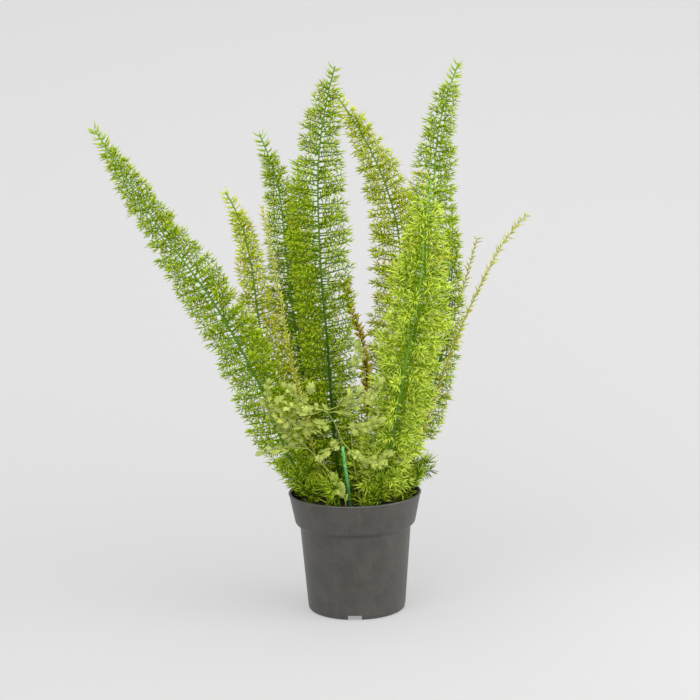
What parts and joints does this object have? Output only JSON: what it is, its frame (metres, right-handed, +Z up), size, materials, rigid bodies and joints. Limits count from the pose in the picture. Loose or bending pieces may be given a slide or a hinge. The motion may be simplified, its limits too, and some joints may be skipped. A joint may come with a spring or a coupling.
{
  "type": "potted foxtail fern",
  "caption": "Potted foxtail fern: tall bottlebrush plumes of fine needles with young shoots, lobed leaf sprays and ground sprigs, in a tapered plastic nursery pot with a collar and foot notches",
  "frame": {"origin": "centre of the pot's flat underside, on the surface that the pot stands on", "axes": "+Z up along the pot's axis; -Y towards the viewer of the picture; +X to the viewer's right"},
  "size_m": [0.3859, 0.2027, 0.4986],
  "materials": {
    "pot_plastic": "matte",
    "soil_mix": "matte",
    "plume_bright": "satin",
    "plume_mid": "satin",
    "plume_deep": "satin",
    "plume_yellow": "satin",
    "shoot_olive": "matte",
    "shoot_brown": "matte",
    "leaf_pale": "satin",
    "stalk_green": "satin",
    "sprig_green": "satin"
  },
  "bodies": {
    "root": {"pot": "pot_plastic", "soil": "soil_mix", "plume_far_left": "plume_bright", "plume_short_left": "plume_yellow", "plume_left": "plume_mid", "plume_back_left": "plume_mid", "plume_centre": "plume_deep", "plume_arching": "plume_yellow", "plume_tall_right": "plume_bright", "plume_right_back": "plume_mid", "plume_front_right": "plume_bright", "shoot_right": "shoot_olive", "shoot_right_back": "shoot_olive", "shoot_left": "shoot_olive", "bract_shoot": "shoot_brown", "leaf_spray_left": "leaf_pale", "leaf_spray_middle": "leaf_pale", "leaf_spray_right": "leaf_pale", "green_stalk": "stalk_green", "sprig_01": "sprig_green", "sprig_02": "sprig_green", "sprig_03": "sprig_green", "sprig_04": "sprig_green", "sprig_05": "sprig_green", "sprig_06": "sprig_green", "sprig_07": "sprig_green", "sprig_08": "sprig_green", "sprig_09": "sprig_green", "sprig_10": "sprig_green", "sprig_11": "sprig_green", "sprig_12": "sprig_green"}
  },
  "joints": []
}
